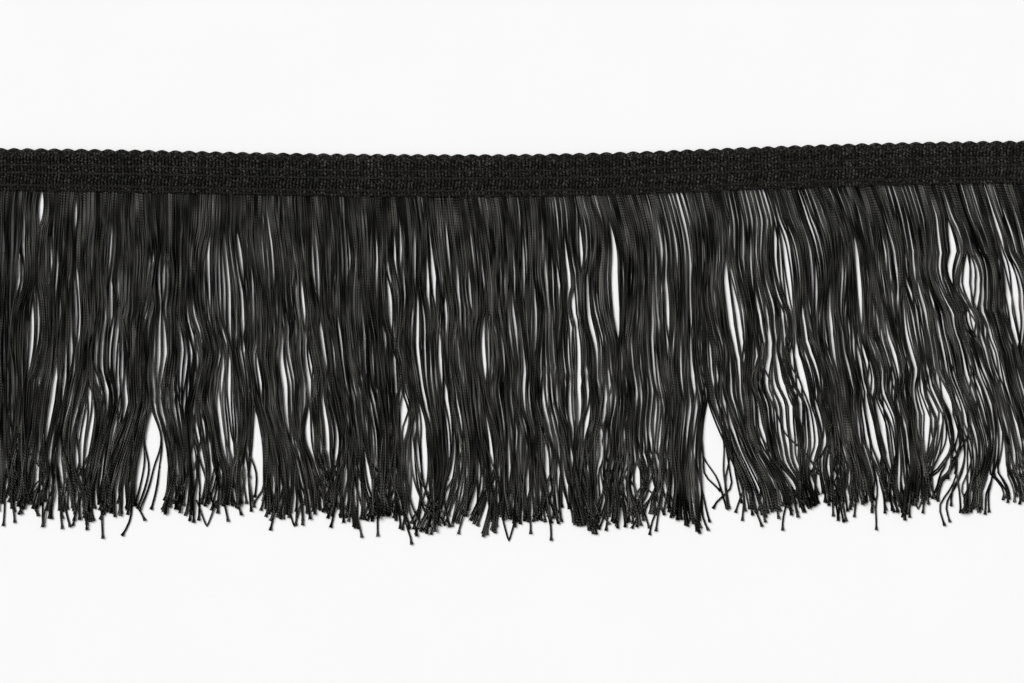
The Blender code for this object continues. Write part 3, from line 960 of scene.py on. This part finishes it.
def lay_yarns(sizes):
    """Every fringe yarn as its layer, its points and its radius at each point."""
    rng = np.random.default_rng(YARN_SEED)
    flow = FringeFlow(sizes.length, sizes.fringe_length, sizes.heading_height)
    count = sizes.yarns_in_layer
    total = LAYERS * count
    pitch = sizes.length / count
    layer = np.repeat(np.arange(LAYERS), count)
    order = np.tile(np.arange(count), LAYERS)
    roots = -sizes.length / 2 + (order + 0.5 * (layer % 2) + 0.25) * pitch
    roots += LEG_OFFSET * (layer // 2 - 0.5)
    depths = np.linspace(0, sizes.fringe_length, YARN_SECTIONS)
    stays = rng.random(total) < STRAGGLER_SHARE
    follow = np.where(stays, rng.uniform(*STRAGGLER_SHIFT, total), 1.0)
    levels = [flow.parted(roots, depth, follow) for depth in depths]
    places = np.array([place for place, _ in levels]).T
    freedom = np.array([free for _, free in levels]).T
    places += freedom * strayed(rng, layer, roots, depths)
    lengths = cut_lengths(rng, roots, places[:, -1], sizes)
    taken = set()
    for wanderer in WANDERERS:
        lead_astray(places, lengths, depths, wanderer, taken)

    radii = np.full((total, YARN_SECTIONS), sizes.yarn_diameter / 2)
    girths = drifting_noise(rng, np.arange(total) * 1.0, depths, OWN_SPAN, GIRTH_REACH)
    radii *= 1 + GIRTH_SCATTER * girths
    radii *= 1 + ROOT_SWELL * (1 - eased(np.clip(depths / ROOT_SWELL_DEPTH, 0, 1)))
    radii *= 1 + END_SWELL * eased(np.clip(1 - (depths[-1] - depths) / END_SWELL_DEPTH, 0, 1))
    for knot in KNOTS:
        yarn = nearest_yarn(places, depths, knot.along, knot.down)
        radii[yarn, np.argmin(np.abs(depths - knot.down * MM))] *= KNOT_SWELL

    downs = np.outer(lengths + ROOT_OVERLAP, depths / depths[-1]) - ROOT_OVERLAP
    heights = settle(layer, places, downs, radii)
    edge = heading_middle(roots) - sizes.heading_height / 2
    yarns = []
    for index in range(total):
        points = np.column_stack([places[index], edge[index] - downs[index], heights[index]])
        yarns.append((layer[index], *flared(points, radii[index])))
    return yarns


def settle(layer, places, downs, radii):
    """Height of each yarn at each of its points: it rests on whatever already lies under it there."""
    left = places.min() - MARGIN
    rows = np.arange(0, downs.max() + ROW, ROW)
    ground = np.zeros((int((places.max() - left + MARGIN) / CELL), len(rows)))
    heights = np.zeros_like(places)
    rng = np.random.default_rng(STACK_SEED)
    pressed = STACK_AT_ROOT + (STACK_SHARE - STACK_AT_ROOT) * eased(np.clip(rows / STACK_DEPTH, 0, 1))
    for yarn in np.lexsort((rng.random(len(layer)), layer)):
        own = rows[rows <= downs[yarn, -1]]
        levels = np.arange(len(own))
        middle = ((np.interp(own, downs[yarn], places[yarn]) - left) / CELL).astype(int)
        radius = np.interp(own, downs[yarn], radii[yarn])
        reach = int(radius.mean() / CELL)
        under = np.max([ground[middle + step, levels] for step in range(-reach, reach + 1)], axis=0)
        padded = np.pad(under, len(STACK_BLUR) // 2, mode="edge")
        smooth = np.convolve(padded, STACK_BLUR, "valid")
        base = pressed[:len(own)] * np.maximum(under, smooth)
        heights[yarn] = np.interp(downs[yarn], own, base + radius)
        for step in range(-reach, reach + 1):
            top = base + radius * (1 + np.sqrt(np.maximum(0, 1 - (step * CELL / radius) ** 2)))
            ground[middle + step, levels] = np.maximum(ground[middle + step, levels], top)
    return heights


def flared(points, radii):
    """The same yarn with its cut end opened like a small brush."""
    last, before = points[-1], points[-2]
    direction = (last - before) / np.linalg.norm(last - before)
    start = last - direction * FLARE_START
    keep = np.linalg.norm(points - last, axis=1) > FLARE_START * FLARE_CLEAR
    points = np.vstack([points[keep], start, last])
    radii = np.concatenate([radii[keep], [radii[-1], radii[-1] * FLARE_WIDTH]])
    points[-1, 2] = max(points[-1, 2], radii[-1])
    return points, radii


def loop_ends(sizes):
    """The loops at the cut edge that the shears missed."""
    yarns = []
    for loop in UNCUT_LOOPS:
        across = np.linspace(-1, 1, LOOP_POINTS)
        x = loop.along * MM + 0.5 * loop.wide * MM * across
        edge = heading_middle(x) - sizes.heading_height / 2
        y = edge - loop.down * MM + loop.tall * MM * np.abs(across) ** LOOP_CURVE
        z = sizes.yarn_diameter * (0.5 + LOOP_LIFT * across ** 2)
        yarns.append((np.column_stack([x, y, z]), np.full(len(x), sizes.yarn_diameter / 2)))
    return yarns


def end_hairs(yarns):
    """Loose filaments that stand out of each cut end."""
    rng = np.random.default_rng(HAIR_SEED)
    hairs = []
    for _, points, radii in yarns:
        tip, radius = points[-1], radii[-1]
        direction = (points[-1] - points[-3]) / np.linalg.norm(points[-1] - points[-3])
        for _ in range(HAIRS_PER_END):
            side = np.array([rng.uniform(-1, 1), 0.0, rng.uniform(-HAIR_STEEPNESS, HAIR_STEEPNESS)])
            length = rng.uniform(*HAIR_LENGTHS) * MM
            start = tip - direction * HAIR_INSET + side * radius * HAIR_OFFSET
            bend = start + (direction + side * HAIR_LEAN) * length * HAIR_BEND
            end = bend + (direction + side * rng.uniform(*HAIR_CURL)) * length * (1 - HAIR_BEND)
            path = np.array([start, bend, end])
            path[:, 2] = np.maximum(path[:, 2], HAIR_RADIUS)
            hairs.append((path, np.array(HAIR_TAPER) * HAIR_RADIUS * rng.uniform(*HAIR_RADIUS_RANGE)))
    return hairs


class TRIM_OT_fringe(bpy.types.Operator):
    """Lay the fringe yarns in layers, with their frayed ends and the few loops left uncut"""

    bl_idname = "trim.fringe"
    bl_label = "Fringe yarns"

    def execute(self, context):
        sizes, finish = context.scene.trim_sizes, context.scene.trim_finish
        material = spun_yarn("black rayon, two-ply cut fringe", finish.fringe_colour, finish.fringe_wear_and_sheen,
                             finish.fringe_roughness, FRINGE_TWIST)
        yarns = lay_yarns(sizes)
        for number in range(LAYERS):
            own = [(points, radii) for layer, points, radii in yarns if layer == number]
            piece = spin(f"fringe_yarns_{number + 1}", own, YARN_SIDES, material)
            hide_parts("fringe_back_row" if number < LAYERS // 2 else "fringe_front_row")
        spin("fringe_uncut_loops", loop_ends(sizes), YARN_SIDES, material)
        spin("fringe_frayed_ends", end_hairs(yarns), HAIR_SIDES, material)
        return {"FINISHED"}


def hang(item, location, turn=(0, 0, 0)):
    """Put a lamp or a camera in its place, aimed straight down and then turned by degrees."""
    item.location = location
    item.rotation_euler = [math.radians(angle) for angle in turn]
    bpy.context.scene.collection.objects.link(item)


class TRIM_OT_stage(bpy.types.Operator):
    """Set the trim on white paper under soft light, seen from straight above"""

    bl_idname = "trim.stage"
    bl_label = "Table, light and camera"

    def execute(self, context):
        scene, finish = context.scene, context.scene.trim_finish
        table = bmesh.new()
        bmesh.ops.create_grid(table, x_segments=1, y_segments=1, size=FLOOR_SIZE / 2)
        mesh = bpy.data.meshes.new("floor")
        table.to_mesh(mesh)
        table.free()
        floor = bpy.data.objects.new("floor", mesh)
        floor.location.z = -FLOOR_DROP
        scene.collection.objects.link(floor)
        mesh.materials.append(white_paper("white paper, matte", finish.table_colour))

        world = bpy.data.worlds.new("soft room")
        world.use_nodes = True
        room = world.node_tree.nodes["Background"]
        room.inputs["Color"].default_value = (1, 1, 1, 1)
        room.inputs["Strength"].default_value = ROOM_STRENGTH
        scene.world = world
        scene.view_settings.view_transform = "Standard"

        lamp = bpy.data.lights.new("softbox", "SUN")
        lamp.angle = math.radians(LIGHT_SPREAD)
        lamp.energy = LIGHT_STRENGTH
        hang(bpy.data.objects.new("softbox", lamp), (0, 0, 1), LIGHT_TURN)

        camera = bpy.data.cameras.new("overhead camera")
        camera.type = "PERSP"
        camera.lens = LENS
        camera.sensor_width = SENSOR
        middle_x = (PHOTO_WIDTH / 2 - ORIGIN_PIXEL[0]) * PIXEL
        middle_y = (ORIGIN_PIXEL[1] - PHOTO_HEIGHT / 2) * PIXEL
        distance = PHOTO_WIDTH * PIXEL * LENS / SENSOR
        eye = bpy.data.objects.new("overhead camera", camera)
        hang(eye, (middle_x, middle_y, distance))
        scene.camera = eye
        return {"FINISHED"}


class TRIM_PT_panel(bpy.types.Panel):
    """Sizes, colours and steps of the fringe trim"""

    bl_label = "Fringe trim"
    bl_idname = "TRIM_PT_panel"
    bl_space_type = "VIEW_3D"
    bl_region_type = "UI"
    bl_category = "Fringe trim"

    def draw(self, context):
        for group in (context.scene.trim_sizes, context.scene.trim_finish):
            box = self.layout.box()
            for name in group.bl_rna.properties.keys():
                if name not in ("rna_type", "name"):
                    box.prop(group, name)
        for step in STEPS:
            self.layout.operator(step.bl_idname)


STEPS = (
    TRIM_OT_stage,
    TRIM_OT_knitted_ground,
    TRIM_OT_weft,
    TRIM_OT_chains,
    TRIM_OT_fringe,
)
CLASSES = (TrimSizes, TrimFinish, *STEPS, TRIM_PT_panel)


def register():
    """Add the trim's classes and its sizes and finish to Blender."""
    for item in CLASSES:
        bpy.utils.register_class(item)
    bpy.types.Scene.trim_sizes = PointerProperty(type=TrimSizes)
    bpy.types.Scene.trim_finish = PointerProperty(type=TrimFinish)


def unregister():
    """Take them away again."""
    del bpy.types.Scene.trim_finish
    del bpy.types.Scene.trim_sizes
    for item in reversed(CLASSES):
        bpy.utils.unregister_class(item)


def main():
    """Lay the whole trim on its stage."""
    register()
    bpy.ops.trim.stage()
    bpy.ops.trim.knitted_ground()
    bpy.ops.trim.weft()
    bpy.ops.trim.chains()
    bpy.ops.trim.fringe()


if __name__ == "__main__":
    main()
